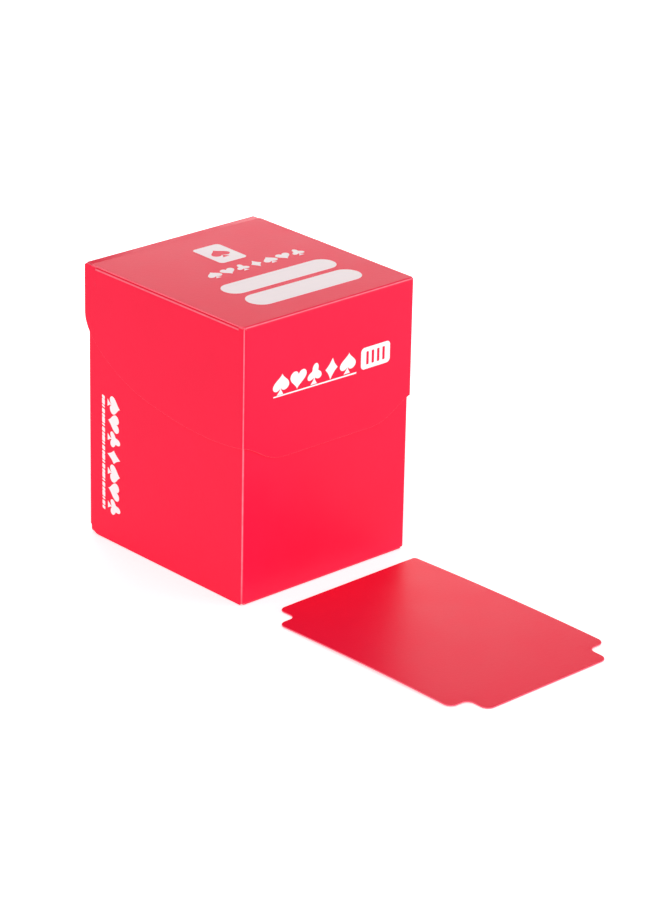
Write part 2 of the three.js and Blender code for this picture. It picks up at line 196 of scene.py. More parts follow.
def sheet_material(name, deep, light, roughness, pebbles_per_mm, strength, edge=(1.0, 0.13, 0.19, 1)):
    material = bpy.data.materials.new(name)
    material.use_nodes = True
    tree = material.node_tree
    shader = tree.nodes["Principled BSDF"]
    place = node(tree, "ShaderNodeTexCoord").outputs["Object"]
    grained = node(tree, "ShaderNodeGroup", node_tree=grain)
    grained.inputs["Pebbles per mm"].default_value = pebbles_per_mm
    grained.inputs["Roughness"].default_value = roughness
    tree.links.new(place, grained.inputs["Place"])
    dye = node(tree, "ShaderNodeMix", [("Factor", grained.outputs["Cloud"])], data_type="RGBA",
               values={6: deep, 7: light})
    # Creases are painted pale here: stress whitening with a painted highlight.
    whitened_and_highlit = node(tree, "ShaderNodeGroup", node_tree=whitening_and_highlight)
    whitened_and_highlit.inputs["Strength"].default_value = strength
    whitened_and_highlit.inputs["Pale Edge And Highlight"].default_value = edge
    tree.links.new(place, whitened_and_highlit.inputs["Place"])
    tree.links.new(dye.outputs[2], whitened_and_highlit.inputs["Colour"])
    bump = node(tree, "ShaderNodeBump", [("Height", grained.outputs["Height"])],
                values={"Strength": 0.55, "Distance": 0.00003})
    tree.links.new(whitened_and_highlit.outputs["Colour"], shader.inputs["Base Color"])
    tree.links.new(grained.outputs["Roughness"], shader.inputs["Roughness"])
    tree.links.new(bump.outputs["Normal"], shader.inputs["Normal"])
    shader.inputs["IOR"].default_value = 1.49
    shader.inputs["Specular IOR Level"].default_value = 0.12
    return material


red_sheet = sheet_material("red_satin_sheet", (0.88, 0.003, 0.042, 1), (0.93, 0.006, 0.05, 1), 0.42, 3.0, 1.0)


SHEET = 0.0005
FOLD = 0.0009
FOLD_STEPS = 12
CUT_ROUND = 0.00012
CUT_MIDDLE = 0.293
SAME_PLACE = 1e-7
ROUNDING = 1e-9


def walk(start, heading, moves):
    """Points (a, b) along a folded sheet's outer face, which turns left at each fold, with the outward
    normal, the distance walked and how far the sheet is creased there, which sets its whitening with a
    painted highlight."""
    a, b = start
    angle = math.radians(heading)
    walked = 0.0
    found = []

    def mark(a, b, angle, walked, pressed_and_highlit):
        if not found or walked - found[-1][4] > SAME_PLACE:
            found.append((a, b, math.sin(angle), -math.cos(angle), walked, pressed_and_highlit))

    for kind, *rest in moves:
        if kind == "flat":
            for step in rest[0]:
                mark(a + step * math.cos(angle), b + step * math.sin(angle), angle, walked + step, 0.0)
            length = rest[0][-1]
            a, b, walked = a + length * math.cos(angle), b + length * math.sin(angle), walked + length
        else:
            radius, turn, steps, whitest_with_highlight, peak, spread = rest
            centre = (a - radius * math.sin(angle), b + radius * math.cos(angle))
            for k in range(steps + 1):
                now = angle + math.radians(turn) * k / steps
                mark(centre[0] + radius * math.sin(now), centre[1] - radius * math.cos(now), now,
                     walked + radius * math.radians(turn) * k / steps,
                     whitest_with_highlight * math.exp(-((k / steps - peak) / spread) ** 2))
            angle += math.radians(turn)
            walked += radius * math.radians(turn)
            a, b = centre[0] + radius * math.sin(angle), centre[1] - radius * math.cos(angle)
    return found


def square_fold(whitest_with_highlight, peak=0.5, spread=0.24):
    """A right-angled fold: how white its crease is painted, stress whitening with a painted highlight,
    where across the bend that peaks, and how widely.
    """
    return ("fold", FOLD, 90, FOLD_STEPS, whitest_with_highlight, peak, spread)


def spaced(length, *stops, step=0.008):
    """Distances from 0 to length with the given stops between them and no gap over step."""
    stops = sorted({0.0, length, *[s for s in stops if 0.0 <= s <= length]})
    filled = []
    for low, high in zip(stops, stops[1:]):
        parts = max(1, math.ceil((high - low) / step - ROUNDING))
        filled += [low + (high - low) * k / parts for k in range(parts)]
    return filled + [stops[-1]]


def corner_stops(radius, steps=6):
    return [radius * (1 - math.cos(math.pi / 2 * k / steps)) for k in range(steps + 1)]


def rounded(distance, radius):
    """How far an outline's rounded corner pulls back at a distance from its end."""
    return radius - math.sqrt(max(0.0, radius ** 2 - (radius - distance) ** 2)) if distance < radius else 0.0


AXES = {"x": lambda a, b, h: Vector((h, a, b)),
        "y": lambda a, b, h: Vector((b, h, a)),
        "z": lambda a, b, h: Vector((a, b, h))}


def folded_sheet(name, stations, low, high, place, rows=1, edge=CUT_ROUND,
                 butts=lambda side, walked: False, white=lambda walked, share: 1.0):
    """A closed sheet along the stations, from low to high at each, with rounded cut edges on every side
    but where it butts against the next piece of the same sheet, where it lies flush."""
    columns = []
    for a, b, na, nb, walked, pressed_and_highlit in stations:
        bottom, top = low(walked), high(walked)
        columns.append([place(a, b, bottom + (top - bottom) * j / rows) for j in range(rows + 1)])
    normals = [(place(a + na, b + nb, 0) - place(a, b, 0)).normalized()
               for a, b, na, nb, walked, pressed_and_highlit in stations]
    last = len(columns) - 1
    loop = ([(i, 0) for i in range(last)] + [(last, j) for j in range(rows)]
            + [(i, rows) for i in range(last, 0, -1)] + [(0, j) for j in range(rows, 0, -1)])
    sides = ["low"] * last + ["end"] * rows + ["high"] * last + ["start"] * rows
    flush = [butts(side, (stations[loop[m][0]][4] + stations[loop[(m + 1) % len(loop)][0]][4]) / 2)
             for m, side in enumerate(sides)]
    profile = [(1, 0, 0), (CUT_MIDDLE, CUT_MIDDLE, 0), (0, 1, 0),
               (0, 1, 1), (CUT_MIDDLE, CUT_MIDDLE, 1), (1, 0, 1)]
    mesh = bmesh.new()
    creased = mesh.verts.layers.float.new("crease")
    cut = mesh.verts.layers.float.new("cut")
    sheet_uv = mesh.loops.layers.uv.new("sheet")
    flat_place = {}

    def vertex(point, i, j, is_cut):
        made = mesh.verts.new(point)
        walked, pressed_and_highlit = stations[i][4], stations[i][5]
        made[creased] = pressed_and_highlit * white(walked, j / rows)
        made[cut] = is_cut
        flat_place[made] = (walked, low(walked) + (high(walked) - low(walked)) * j / rows)
        return made

    rim = []
    for m, (i, j) in enumerate(loop):
        point, normal = columns[i][j], normals[i]
        before, after = loop[m - 1], loop[(m + 1) % len(loop)]
        ways = []
        if not flush[m - 1]:
            ways.append((point - columns[before[0]][before[1]]).cross(normal).normalized())
        if not flush[m]:
            ways.append((columns[after[0]][after[1]] - point).cross(normal).normalized())
        if len(ways) == 2:
            inward = (ways[0] + ways[1]) / (1 + max(ways[0].dot(ways[1]), 0))
        else:
            inward = ways[0] if ways else Vector()
        depth = edge if ways else 0.0
        ring = []
        for k, (across, down, side) in enumerate(profile):
            deep = SHEET - down * depth if side else down * depth
            on_edge = float(0 < k < len(profile) - 1 and bool(ways))
            ring.append(vertex(point - inward * across * edge - normal * deep, i, j, on_edge))
        rim.append(ring)
    at_rim = dict(zip(loop, rim))
    outer = [[at_rim[i, j][0] if (i, j) in at_rim else vertex(columns[i][j], i, j, 0.0)
              for j in range(rows + 1)] for i in range(last + 1)]
    inner = [[at_rim[i, j][-1] if (i, j) in at_rim
              else vertex(columns[i][j] - normals[i] * SHEET, i, j, 0.0)
              for j in range(rows + 1)] for i in range(last + 1)]
    for i in range(last):
        for j in range(rows):
            mesh.faces.new((outer[i][j], outer[i + 1][j], outer[i + 1][j + 1], outer[i][j + 1]))
            mesh.faces.new((inner[i][j + 1], inner[i + 1][j + 1], inner[i + 1][j], inner[i][j]))
    for m, ring in enumerate(rim):
        following = rim[(m + 1) % len(rim)]
        for k in range(len(profile) - 1):
            mesh.faces.new((following[k], ring[k], ring[k + 1], following[k + 1]))
    for face in mesh.faces:
        face.smooth = True
        for corner in face.loops:
            corner[sheet_uv].uv = flat_place[corner.vert]
    bmesh.ops.remove_doubles(mesh, verts=mesh.verts, dist=SAME_PLACE)
    data = bpy.data.meshes.new(name)
    mesh.to_mesh(data)
    mesh.free()
    data.set_sharp_from_angle(angle=math.radians(60))
    made = bpy.data.objects.new(name, data)
    bpy.context.scene.collection.objects.link(made)
    return made


def ends_butt(side, walked):
    return side in ("start", "end")


def finish_sheet(piece, material, body, *nodes, slot="sheet"):
    """Lets the wide faces rule the shading, gives the piece its sheet and hangs it on its body."""
    piece.data.materials.append(material)
    flatten = piece.modifiers.new("wide_faces_rule", "WEIGHTED_NORMAL")
    flatten.keep_sharp = True
    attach(piece, body)
    if nodes:
        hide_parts(*nodes)
    return piece


# ---- Front and sides ----
# The front panel and the two side panels are one strip, creased at both front corners.
# The sides are glued over the flaps behind them, and the front has a thumb notch in its rim.
front_low, front_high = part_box("front_panel")
side_low, side_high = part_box("left_side_panel")
half_width = -side_low.x
half_depth = -front_low.y
rim = front_high.z
side_run = side_high.y + half_depth - FOLD
front_run = 2 * (half_width - FOLD)
fold_run = FOLD * math.pi / 2
notch_radius, notch_depth = 0.015, 0.010
notch_half = math.sqrt(notch_radius ** 2 - (notch_radius - notch_depth) ** 2)
strip_length = 2 * side_run + 2 * fold_run + front_run
foot_radius, rim_radius, foot_lift = 0.0038, 0.0015, 0.0004
middle = strip_length / 2
notch_stops = [front_run / 2 + notch_radius * math.cos(math.radians(d)) for d in range(0, 181, 10)] + [
    front_run / 2 - notch_half, front_run / 2 + notch_half]


def strip_low(walked):
    from_end = min(walked, strip_length - walked)
    if from_end <= side_run:
        return side_low.z + rounded(from_end, foot_radius)
    into_fold = (from_end - side_run) / fold_run
    if into_fold < 1:
        lift = foot_lift * math.sin(math.pi * into_fold)
        return side_low.z + (front_low.z - side_low.z) * into_fold + lift
    return front_low.z


def strip_high(walked):
    from_end = min(walked, strip_length - walked)
    across = abs(walked - middle)
    if across < notch_half - ROUNDING:
        centre = rim + notch_radius - notch_depth
        return centre - math.sqrt(notch_radius ** 2 - across ** 2)
    return rim - rounded(from_end, rim_radius)


side_stops = corner_stops(foot_radius) + corner_stops(rim_radius, 4)
# The front corners' crease colour, whitening with a painted highlight, is weaker near the foot.
front_and_sides = folded_sheet(
    "front_and_sides",
    walk((-half_width, side_high.y), -90, [
        ("flat", spaced(side_run, *side_stops)),
        square_fold(0.72, spread=0.16),
        ("flat", spaced(front_run, *notch_stops)),
        square_fold(0.72, spread=0.16),
        ("flat", spaced(side_run, *[side_run - s for s in side_stops])),
    ]), strip_low, strip_high, AXES["z"], rows=8, white=lambda walked, share: min(0.45 + 5 * share, 1.0))
finish_sheet(front_and_sides, red_sheet, "body", "front_panel", "left_side_panel", "right_side_panel",
             "front_left_fold", "front_right_fold")

# ---- Bottom and back ----
# The bottom panel folds up to the front at one end and to the back panel at the other.
back_low, back_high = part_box("back_panel")
bottom_and_back = folded_sheet(
    "bottom_and_back",
    walk((-half_depth, FOLD), -90, [
        square_fold(0.35),
        ("flat", spaced(2 * (half_depth - FOLD))),
        square_fold(0.35),
        ("flat", spaced(back_high.z - FOLD)),
    ]), lambda walked: back_low.x, lambda walked: back_high.x, AXES["x"], rows=4,
    butts=lambda side, walked: side in ("start", "end") or walked > 2 * half_depth)
finish_sheet(bottom_and_back, red_sheet, "body", "bottom_panel", "back_panel", "bottom_front_fold",
             "bottom_rear_fold")

# ---- Glued flaps ----
# Flaps of the bottom and of the back panel turn up and forward inside the side panels,
# mitred at their free corners, and are glued there.
flap_mitre = 0.004


def mitred(walked, along, reach):
    """How far a flap's mitre pulls its ends in, at a distance along it."""
    return max(0.0, walked - along - (reach - flap_mitre))


for side, sign in (("left", -1), ("right", 1)):
    for kind in ("bottom", "back"):
        low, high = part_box(f"{side}_{kind}_flap")
        if kind == "bottom":
            reach, near, far, axis = high.z - FOLD, low.y, high.y, "y"
            fold_first = walk((0, -half_width + SHEET + FOLD), -90, [
                square_fold(0.6), ("flat", spaced(reach, reach - flap_mitre))])
            fold_last = walk((high.z, half_width - SHEET), 180, [
                ("flat", spaced(reach, flap_mitre)), square_fold(0.6)])
        else:
            reach, near, far, axis = high.y - low.y, low.z, high.z, "z"
            fold_first = walk((-half_width + SHEET + FOLD, half_depth), 180, [
                square_fold(0.6), ("flat", spaced(reach, reach - flap_mitre))])
            fold_last = walk((half_width - SHEET, low.y), 90, [
                ("flat", spaced(reach, flap_mitre)), square_fold(0.6)])
        whole = fold_run + reach

        def pulled(walked, sign=sign, reach=reach, whole=whole):
            return mitred(walked if sign < 0 else whole - walked, fold_run, reach)

        flap = folded_sheet(
            f"{side}_{kind}_flap_skin", fold_first if sign < 0 else fold_last,
            lambda walked, near=near: near + pulled(walked), lambda walked, far=far: far - pulled(walked),
            AXES[axis], butts=lambda end, walked, sign=sign: end == ("start" if sign < 0 else "end"))
        finish_sheet(flap, red_sheet, "body", f"{side}_{kind}_flap", f"{side}_{kind}_fold")

# ---- Lid front and sides ----
# The lid's front panel and its two side panels are one strip, creased at both corners. Its lower
# edge drops from each crease to a wide tongue in front and sweeps up to a short rear edge at the sides.
lid_low, lid_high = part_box("lid_front_panel")
lid_side_low, lid_side_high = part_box("lid_left_panel")
top_low, top_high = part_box("lid_top_panel")
crease_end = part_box("lid_left_fold")[0].z
lid_half = -lid_side_low.x
lid_front = lid_low.y
lid_side_run = lid_side_high.y - lid_front - FOLD
lid_front_run = 2 * (lid_half - FOLD)
lid_strip = 2 * lid_side_run + 2 * fold_run + lid_front_run
lid_corner = 0.0012
shoulder = 0.018
rise_start, rise_drop, rear_drop, side_dip = 0.054, 0.0389, 0.0179, 0.0029


def cubic(p0, p1, p2, p3, steps):
    for k in range(steps + 1):
        t = k / steps
        yield tuple((1 - t) ** 3 * a + 3 * t * (1 - t) ** 2 * b + 3 * t * t * (1 - t) * c + t ** 3 * d
                    for a, b, c, d in zip(p0, p1, p2, p3))


# Each stretch of the edge is a curve with two handles, given as shares of its length and height.
side_front, rear = lid_front + FOLD, lid_side_high.y
rise_y, rise_z, rear_z = lid_front + rise_start, top_high.z - rise_drop, top_high.z - rear_drop
dip_run, rise_run, rise_height = rise_y - side_front, rear - rise_y, rear_z - rise_z
sweep = list(cubic((side_front, crease_end), (side_front + dip_run * 0.3, crease_end - side_dip * 1.15),
                   (rise_y - dip_run * 0.29, rise_z - side_dip * 1.3), (rise_y, rise_z), 16))
sweep += list(cubic((rise_y, rise_z), (rise_y + rise_run * 0.49, rise_z + rise_height * 0.2),
                    (rear, rear_z - rise_height * 0.39), (rear, rear_z), 20))[1:]
drop = crease_end - lid_low.z
tongue = list(cubic((0, crease_end), (shoulder * 0.35, crease_end - drop * 0.3),
                    (shoulder * 0.5, lid_low.z), (shoulder, lid_low.z), 14))
edge_line = sorted([(rear - y, z) for y, z in sweep]
                   + [(lid_side_run + fold_run + x, z) for x, z in tongue])


def lid_strip_low(walked):
    walked = min(walked, lid_strip - walked)
    for (w0, z0), (w1, z1) in zip(edge_line, edge_line[1:]):
        if w0 <= walked <= w1 and w1 > w0:
            return z0 + (z1 - z0) * (walked - w0) / (w1 - w0)
    return edge_line[-1][1] if walked > edge_line[0][0] else edge_line[0][1]


tab_low, tab_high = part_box("lid_left_tab_fold")
tab_from, tab_to = rear - tab_high.y, rear - tab_low.y
tab_drop, top_gap, rear_lowered, crown, step_width = 0.00022, 0.00005, 0.0003, 0.00045, 0.00002
clear_of_top = 0.0001
under_top = top_low.z - top_gap
raised_from = rear - top_high.y - clear_of_top


def lid_strip_high(walked):
    from_end = min(walked, lid_strip - walked)
    if from_end >= lid_side_run:
        step = min((from_end - lid_side_run) / fold_run, 1.0)
        return under_top + (lid_high.z - under_top) * step + crown * math.sin(math.pi * step)
    if from_end > tab_from:
        return lid_side_high.z - tab_drop if from_end < tab_to else under_top
    raised = under_top if from_end > raised_from else top_high.z - rear_lowered
    return raised - rounded(from_end, lid_corner)


sweep_stops = [rear - y for y, z in sweep] + corner_stops(lid_corner, 4)
for at in (tab_from, tab_to, raised_from):
    sweep_stops += [at - step_width, at + step_width]
tongue_stops = [x for x, z in tongue] + [lid_front_run - x for x, z in tongue]
lid_front_and_sides = folded_sheet(
    "lid_front_and_sides",
    walk((-lid_half, rear), -90, [
        ("flat", spaced(lid_side_run, *sweep_stops)),
        square_fold(0.7, spread=0.12),
        ("flat", spaced(lid_front_run, *tongue_stops)),
        square_fold(0.7, spread=0.12),
        ("flat", spaced(lid_side_run, *[lid_side_run - s for s in sweep_stops])),
    ]), lid_strip_low, lid_strip_high, AXES["z"], rows=4,
    butts=lambda side, walked: side == "high" and (
        tab_from < min(walked, lid_strip - walked) < tab_to
        or min(walked, lid_strip - walked) > lid_side_run + fold_run))
finish_sheet(lid_front_and_sides, red_sheet, "lid", "lid_front_panel", "lid_left_panel", "lid_right_panel",
             "lid_left_fold", "lid_right_fold")

# ---- Lid top ----
# The top panel lies on the side tabs with a fine gap along both sides. It folds down into the
# lid's front, and its rear edge runs into the living hinge. It sits one ink height low, so that
# the prints on it end at the box's full height.
ink_height, top_corner = 0.00002, 0.0006
top_run = top_high.y - top_low.y
top_half = top_high.x
fold_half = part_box("lid_front_fold")[1].x


def top_reach(walked):
    if walked <= top_run:
        return top_half - rounded(walked, top_corner)
    return top_half + (fold_half - top_half) * min((walked - top_run) / (0.4 * fold_run), 1.0)


lid_top = folded_sheet(
    "lid_top",
    walk((top_high.y, top_high.z - ink_height), 180, [
        ("flat", spaced(top_run, *corner_stops(top_corner, 4))), square_fold(0.7, peak=0.55, spread=0.12)]),
    lambda walked: -top_reach(walked), top_reach, AXES["x"], rows=4,
    butts=ends_butt)
finish_sheet(lid_top, red_sheet, "lid", "lid_top_panel", "lid_front_fold")

# ---- Lid tabs ----
# A tab on each lid side panel turns in under the top panel. Its crease is painted whitest next to
# the side panel, stress whitening with a painted highlight, and shows as a pale line along the lid's top
# edge.
for side, sign in (("left", -1), ("right", 1)):
    low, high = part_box(f"lid_{side}_tab")
    reach = high.x - low.x
    base, flat_at = high.z - FOLD - tab_drop, high.z - tab_drop
    if sign < 0:
        path = walk((base, -lid_half), 0, [
            square_fold(0.5, peak=0.25, spread=0.2), ("flat", spaced(reach, reach - flap_mitre))])
    else:
        path = walk((flat_at, low.x), 90, [
            ("flat", spaced(reach, flap_mitre)), square_fold(0.5, peak=0.75, spread=0.2)])
    whole = fold_run + reach

    def pulled(walked, sign=sign, reach=reach, whole=whole):
        return mitred(walked if sign < 0 else whole - walked, fold_run, reach)

    tab = folded_sheet(
        f"lid_{side}_tab_skin", path, lambda walked, low=low: low.y + pulled(walked),
        lambda walked, high=high: high.y - pulled(walked), AXES["y"],
        butts=lambda end, walked, sign=sign: end == ("start" if sign < 0 else "end"))
    finish_sheet(tab, red_sheet, "lid", f"lid_{side}_tab", f"lid_{side}_tab_fold")

# ---- Living hinge ----
# The back panel runs on over the rear top edge into the lid, straight up to a small soft corner and
# straight on from it. It is made in two halves, and each half bends across the crease at its end.
roll_low, roll_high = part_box("hinge_strip")
roll_radius = roll_high.z - roll_low.z
roll_gap = roll_low.z - back_high.z
roll_corner, roll_side_gap, roll_step = 0.0007, 0.0002, 0.0001
# The hinge's bend carries a faint crease colour: whitening with a painted highlight.
half_corner, roll_white_and_highlight, roll_spread = 45, 0.25, 0.5
roll_straight = roll_gap + roll_radius - roll_corner
wide = lid_half - SHEET - roll_side_gap


def roll_reach(walked):
    """Half the roll's width, which grows from its neighbour's to fill the space between the lid's sides."""
    return back_high.x + (wide - back_high.x) * min(walked / roll_straight, 1.0)


lower_half = folded_sheet(
    "hinge_lower_half",
    walk((half_depth, back_high.z), 90, [
        ("flat", spaced(roll_straight, step=roll_step)),
        ("fold", roll_corner, half_corner, 8, roll_white_and_highlight, 1.0, roll_spread)]),
    lambda walked: -roll_reach(walked), roll_reach,
    AXES["x"], rows=4, butts=ends_butt)
upper_half = folded_sheet(
    "hinge_upper_half",
    walk((half_depth - roll_corner * (1 - math.cos(math.pi / 4)),
          roll_high.z - roll_corner * (1 - math.sin(math.pi / 4))), 135, [
        ("fold", roll_corner, half_corner, 8, roll_white_and_highlight, 0.0, roll_spread),
        ("flat", spaced(roll_straight, step=roll_step))]),
    lambda walked: -wide, lambda walked: wide, AXES["x"], rows=4,
    butts=ends_butt)
for half, near, far in (
        (lower_half, ("body", (0, half_depth, back_high.z)),
         ("hinge", (0, half_depth, roll_low.z + roll_gap))),
        (upper_half, ("hinge", (0, roll_low.y + roll_gap, roll_high.z)),
         ("lid", (0, top_high.y, roll_high.z)))):
    half.data.materials.append(red_sheet)
    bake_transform(half)
    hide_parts("hinge_strip")

# ---- Divider ----
# A loose card that just fits inside the box, as thick as the box's own sheet, with three stepped
# corners and one plain one. It lies on the table with its middle slightly arched.
# The divider's red is the box's red made a little pinker, a painted sheen for the flat card; its paler cut
# edge is partly its own tone and partly a painted highlight.
divider_red_with_sheen = sheet_material("divider_satin_sheet_painted_sheen", (0.87, 0.009, 0.042, 1), (0.92, 0.012, 0.05, 1),
                             0.4, 3.0, 1.0, edge=(1.0, 0.16, 0.23, 1))
divider_half, divider_length = 0.0353, 0.0961
divider_arch, divider_turn = 0.0007, math.radians(0.93)
divider_gap, divider_offset = 0.0085, -0.0009
step_across, step_along, lobe, nook, plain_corner = 0.0078, 0.0085, 0.003, 0.0025, 0.0012
arch_radius = divider_length ** 2 / (8 * divider_arch) + divider_arch / 2 + SHEET
arch_spread = math.degrees(math.asin(divider_length / 2 / arch_radius))
arch_length = 2 * math.radians(arch_spread) * arch_radius
divider_place = (Matrix.Translation((divider_offset, lid_front - divider_gap - divider_length / 2, 0))
                 @ Matrix.Rotation(divider_turn, 4, "Z"))


def stepped(distance):
    """How far a stepped corner pulls the edge in, at a distance from the divider's end."""
    if distance < lobe:
        return step_across + rounded(distance, lobe)
    if distance < step_along - nook:
        return step_across
    if distance < step_along:
        return step_across - nook + math.sqrt(max(0.0, nook ** 2 - (distance - step_along + nook) ** 2))
    return rounded(distance - step_along, lobe)


def divider_left(walked):
    return -divider_half + stepped(min(walked, arch_length - walked))


def divider_right(walked):
    if walked < arch_length / 2:
        return divider_half - rounded(walked, plain_corner)
    return divider_half - stepped(arch_length - walked)


corner_run = sorted({*corner_stops(plain_corner, 4), *corner_stops(lobe), step_along - step_width,
                     *[step_along - nook + nook * math.sin(math.pi / 16 * k) for k in range(8)],
                     *[step_along + step_width + s for s in corner_stops(lobe)]})
arch_stations = []
for walked in spaced(arch_length, *corner_run, *[arch_length - s for s in corner_run], step=0.003):
    lean = math.radians(180 - arch_spread) + walked / arch_radius
    arch_stations.append((arch_radius * math.sin(lean),
                          divider_arch + SHEET - arch_radius - arch_radius * math.cos(lean),
                          math.sin(lean), -math.cos(lean), walked, 0.0))
divider = folded_sheet(
    "divider_skin", arch_stations, divider_left, divider_right,
    lambda a, b, h: divider_place @ Vector((h, a, b)), rows=10, edge=0.0002)
finish_sheet(divider, divider_red_with_sheen, "divider", "divider", slot="divider_sheet")

# ---- Printed marks ----
# One opaque white ink, screen-printed in a thin even coat after the sheet is cut.
# The marks are plain card suits, bars, a card emblem, a plate and writing panels.
white_ink = bpy.data.materials.new("white_print_ink")
white_ink.use_nodes = True
tree = white_ink.node_tree
shader = tree.nodes["Principled BSDF"]
place = node(tree, "ShaderNodeTexCoord").outputs["Object"]
inked = node(tree, "ShaderNodeGroup", [("Place", place)], node_tree=grain)
inked.inputs["Pebbles per mm"].default_value = 2.5
inked.inputs["Roughness"].default_value = 0.5
thin_ink = node(tree, "ShaderNodeMix", [("Factor", inked.outputs["Height"])], data_type="RGBA",
                values={6: (0.9, 0.73, 0.745, 1), 7: (0.98, 0.85, 0.865, 1)})
bump = node(tree, "ShaderNodeBump", [("Height", inked.outputs["Height"])],
            values={"Strength": 0.3, "Distance": 0.00002})
tree.links.new(thin_ink.outputs[2], shader.inputs["Base Color"])
tree.links.new(inked.outputs["Roughness"], shader.inputs["Roughness"])
tree.links.new(bump.outputs["Normal"], shader.inputs["Normal"])
shader.inputs["Specular IOR Level"].default_value = 0.3
ink_coat = 0.00003


def flat_print(name, outlines):
    """A mesh one coat thick from closed outlines in millimetres, where an inner outline is a window."""
    curve = bpy.data.curves.new(name, "CURVE")
    curve.dimensions, curve.fill_mode, curve.extrude = "2D", "BOTH", 0.5
    for outline in outlines:
        spline = curve.splines.new("POLY")
        spline.points.add(len(outline) - 1)
        for point, (x, y) in zip(spline.points, outline):
            point.co = (x, y, 0, 1)
        spline.use_cyclic_u = True
    carrier = bpy.data.objects.new(name, curve)
    bpy.context.scene.collection.objects.link(carrier)
    made = bpy.data.meshes.new_from_object(carrier.evaluated_get(bpy.context.evaluated_depsgraph_get()))
    bpy.data.objects.remove(carrier)
    made.name = name
    made.transform(Matrix.Diagonal((0.001, 0.001, ink_coat, 1)))
    return made


def lay_print(name, mesh, face, body):
    """Lays a print on a face, so that it stands one ink height proud, and hangs it on the body."""
    mesh.transform(face @ Matrix.Translation((0, 0, ink_height - ink_coat / 2)))
    mesh.materials.clear()
    mesh.materials.append(white_ink)
    made = bpy.data.objects.new(name, mesh)
    bpy.context.scene.collection.objects.link(made)
    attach(made, body)
    return made


def face_at(point, across, upward):
    """A face's own axes: across and upward along it, then outwards."""
    across, upward = Vector(across), Vector(upward)
    return Matrix.Translation(point) @ Matrix((across, upward, across.cross(upward))).transposed().to_4x4()


def rounded_outline(width, height, radius, slant=0.0, centre=(0, 0), steps=10):
    points = []
    for k, (sx, sy) in enumerate(((1, 1), (-1, 1), (-1, -1), (1, -1))):
        for j in range(steps + 1):
            t = math.pi / 2 * (k + j / steps)
            x = sx * (width / 2 - radius) + radius * math.cos(t)
            y = sy * (height / 2 - radius) + radius * math.sin(t)
            points.append((centre[0] + x + slant * y, centre[1] + y))
    return points


def stem(points, half, foot):
    return points + [(-half * 0.25, -0.3), (-half, -foot), (half, -foot), (half * 0.25, -0.3)]


def heart_outline():
    turns = [2 * math.pi * k / 48 for k in range(48)]
    return [(0.5 * math.sin(t) ** 3, (13 * math.cos(t) - 5 * math.cos(2 * t) - 2 * math.cos(3 * t)
                                      - math.cos(4 * t)) / 32 + 0.05) for t in turns]


def spade_outline():
    lobes = [(-x, -y * 0.92 + 0.08) for x, y in heart_outline()][1:]
    return stem([(-x, y) for x, y in lobes], 0.2, 0.5)


def diamond_outline():
    corners = [(0, 0.52), (-0.38, 0), (0, -0.52), (0.38, 0)]
    points = []
    for (x0, y0), (x1, y1) in zip(corners, corners[1:] + corners[:1]):
        for k in range(6):
            t = k / 6
            pinch = 1 - 0.12 * math.sin(math.pi * t)
            points.append(((x0 + (x1 - x0) * t) * pinch, (y0 + (y1 - y0) * t) * pinch))
    return points


def club_outline():
    turns = [math.radians(-84 + 348 * k / 60) for k in range(61)]
    leaf = [((0.35 + 0.13 * math.cos(3 * (t - math.pi / 2))) * math.cos(t),
             (0.35 + 0.13 * math.cos(3 * (t - math.pi / 2))) * math.sin(t) + 0.04) for t in turns]
    return stem(leaf, 0.2, 0.5)


# A row of marks: the four shapes take turns along a line, at one pitch and size.
row = bpy.data.node_groups.new("row_of_marks", "GeometryNodeTree")
sockets = {}
for socket, kind in (("Count", "NodeSocketInt"), ("Pitch", "NodeSocketFloat"), ("Size", "NodeSocketFloat"),
                     ("First Shape", "NodeSocketObject"), ("Second Shape", "NodeSocketObject"),
                     ("Third Shape", "NodeSocketObject"), ("Fourth Shape", "NodeSocketObject"),
                     ("Ink", "NodeSocketMaterial")):
    sockets[socket] = row.interface.new_socket(socket, in_out="INPUT", socket_type=kind).identifier
row.interface.new_socket("Marks", in_out="OUTPUT", socket_type="NodeSocketGeometry")
inp, out = row.nodes.new("NodeGroupInput"), row.nodes.new("NodeGroupOutput")
less = node(row, "ShaderNodeMath", [(0, inp.outputs["Count"])], operation="SUBTRACT", values={1: 1.0})
run = node(row, "ShaderNodeMath", [(0, less.outputs[0]), (1, inp.outputs["Pitch"])], operation="MULTIPLY")
half_back = node(row, "ShaderNodeMath", [(0, run.outputs[0])], operation="MULTIPLY", values={1: -0.5})
first = node(row, "ShaderNodeCombineXYZ", [("X", half_back.outputs[0])])
pitch = node(row, "ShaderNodeCombineXYZ", [("X", inp.outputs["Pitch"])])
line = node(row, "GeometryNodeMeshLine", [
    ("Count", inp.outputs["Count"]), ("Start Location", first.outputs[0]), ("Offset", pitch.outputs[0])])
shapes = node(row, "GeometryNodeGeometryToInstance")
for socket in ("Fourth Shape", "Third Shape", "Second Shape", "First Shape"):
    shape = node(row, "GeometryNodeObjectInfo", [("Object", inp.outputs[socket])])
    row.links.new(shape.outputs["Geometry"], shapes.inputs[0])
index = node(row, "GeometryNodeInputIndex")
turn = node(row, "ShaderNodeMath", [(0, index.outputs[0])], operation="MODULO", values={1: 4.0})
grown = node(row, "ShaderNodeCombineXYZ", [("X", inp.outputs["Size"]), ("Y", inp.outputs["Size"])],
             values={"Z": 1.0})
marks = node(row, "GeometryNodeInstanceOnPoints", [
    ("Points", line.outputs["Mesh"]), ("Instance", shapes.outputs[0]), ("Instance Index", turn.outputs[0]),
    ("Scale", grown.outputs[0])], values={"Pick Instance": True})
whole = node(row, "GeometryNodeRealizeInstances", [("Geometry", marks.outputs[0])])
